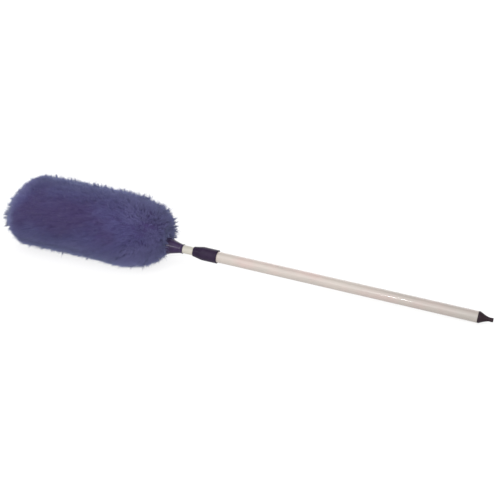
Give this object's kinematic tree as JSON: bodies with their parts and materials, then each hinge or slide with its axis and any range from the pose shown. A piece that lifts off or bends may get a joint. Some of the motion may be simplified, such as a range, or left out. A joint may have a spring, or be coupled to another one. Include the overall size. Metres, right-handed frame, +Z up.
{
  "type": "extendable lambswool duster",
  "caption": "Extendable duster: a fluffy lambswool head, a bell ferrule, and a telescopic pole with a twist-lock collar and a tapered end cap.",
  "frame": {"origin": "on the surface that the duster lies on, under the middle of its bounding box", "axes": "+X along the duster from the wool head to the end cap, +Z up; the pole slopes down 3.3 degrees towards +X"},
  "size_m": [0.8704, 0.128, 0.13],
  "materials": {
    "wool": "matte",
    "hide": "matte",
    "core_wood": "matte",
    "fastener_steel": "satin",
    "dark_plastic": "satin",
    "grey_plastic": "satin",
    "cream_tube": "satin",
    "pale_tube": "gloss"
  },
  "bodies": {
    "handle": {"outer_tube": "pale_tube", "thread_socket": "grey_plastic", "end_cap": "dark_plastic"},
    "collet": {"collet": "grey_plastic"},
    "lock_collar": {"lock_collar": "dark_plastic"},
    "glide": {"glide_ring": "grey_plastic"},
    "inner_pole": {"inner_tube": "cream_tube", "inner_plug": "grey_plastic", "ferrule": "dark_plastic", "head_core": "core_wood", "pelt_sleeve": "hide", "pelt_tack_1": "fastener_steel", "pelt_tack_2": "fastener_steel", "pelt_tack_3": "fastener_steel", "pelt_tack_4": "fastener_steel", "tip_washer": "fastener_steel", "tip_nail": "fastener_steel", "wool_pile": "wool"}
  },
  "joints": [
    {"name": "collet_travel", "type": "slide", "parent": "handle", "child": "collet", "axis": [-0.9983, 0, 0.0576], "range_m": [0, 0.00226]},
    {"name": "collar_twist", "type": "hinge", "parent": "collet", "child": "lock_collar", "pos_m": [-0.05441, 0, 0.03642], "axis": [-0.9983, 0, 0.0576], "range_deg": [0, 270]},
    {"name": "pole_extension", "type": "slide", "parent": "handle", "child": "glide", "axis": [-0.9983, 0, 0.0576], "range_m": [-0.0162, 0.33]},
    {"name": "pole_spin", "type": "hinge", "parent": "glide", "child": "inner_pole", "pos_m": [-0.05441, 0, 0.03642], "axis": [-0.9983, 0, 0.0576], "continuous": true}
  ],
  "couplings": [
    {"joint": "collet_travel", "follows": "collar_twist", "m_per_rad": 0.00047746}
  ]
}
